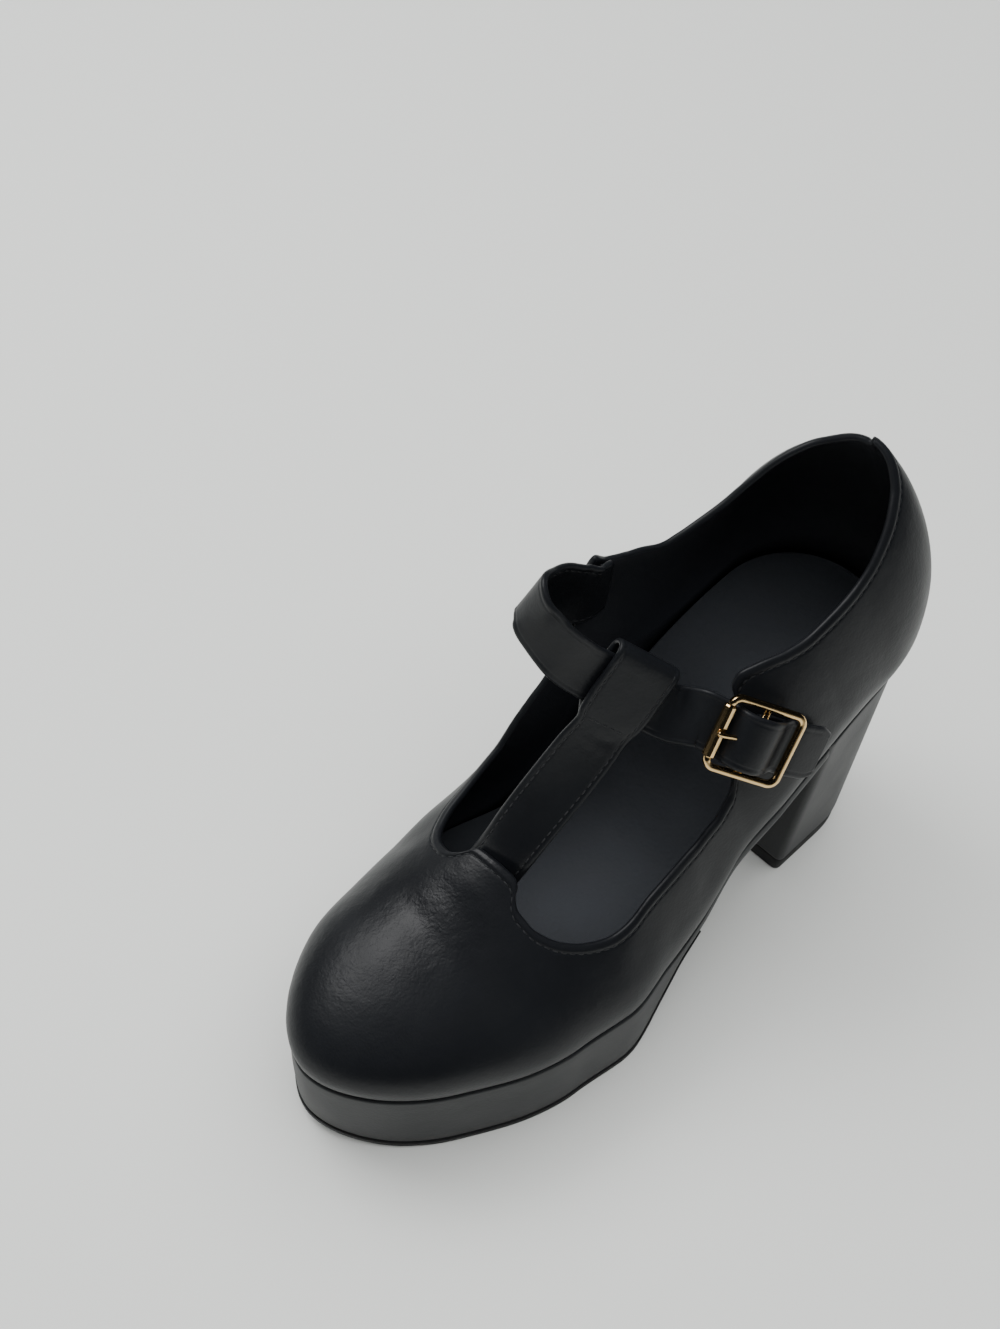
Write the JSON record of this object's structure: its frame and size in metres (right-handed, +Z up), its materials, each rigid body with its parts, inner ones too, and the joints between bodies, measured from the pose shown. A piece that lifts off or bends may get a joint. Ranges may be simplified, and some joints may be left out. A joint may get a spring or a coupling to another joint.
{
  "type": "platform shoe",
  "caption": "Left platform shoe with a high block heel, round closed toe, open sides, T-bar looped over an instep strap and a rectangular buckle with centre bar.",
  "frame": {"origin": "middle of the heel's tread, on the floor", "axes": "+X to the outer side of this left shoe, +Y from the toe to the heel, +Z up from the floor"},
  "size_m": [0.0888, 0.226, 0.1557],
  "materials": {
    "upper_leather": "satin",
    "sole_wrap": "matte",
    "tread_rubber": "matte",
    "lining": "matte",
    "buckle_gold": "polished"
  },
  "bodies": {
    "root": {"upper": "upper_leather", "t_strap": "upper_leather", "instep_strap": "upper_leather", "buckle_chape": "upper_leather", "platform": "sole_wrap", "heel_block": "sole_wrap", "outsole": "tread_rubber", "heel_tip": "tread_rubber", "insole": "lining", "buckle_frame": "buckle_gold", "buckle_roller": "buckle_gold", "buckle_prong": "buckle_gold"}
  },
  "joints": []
}
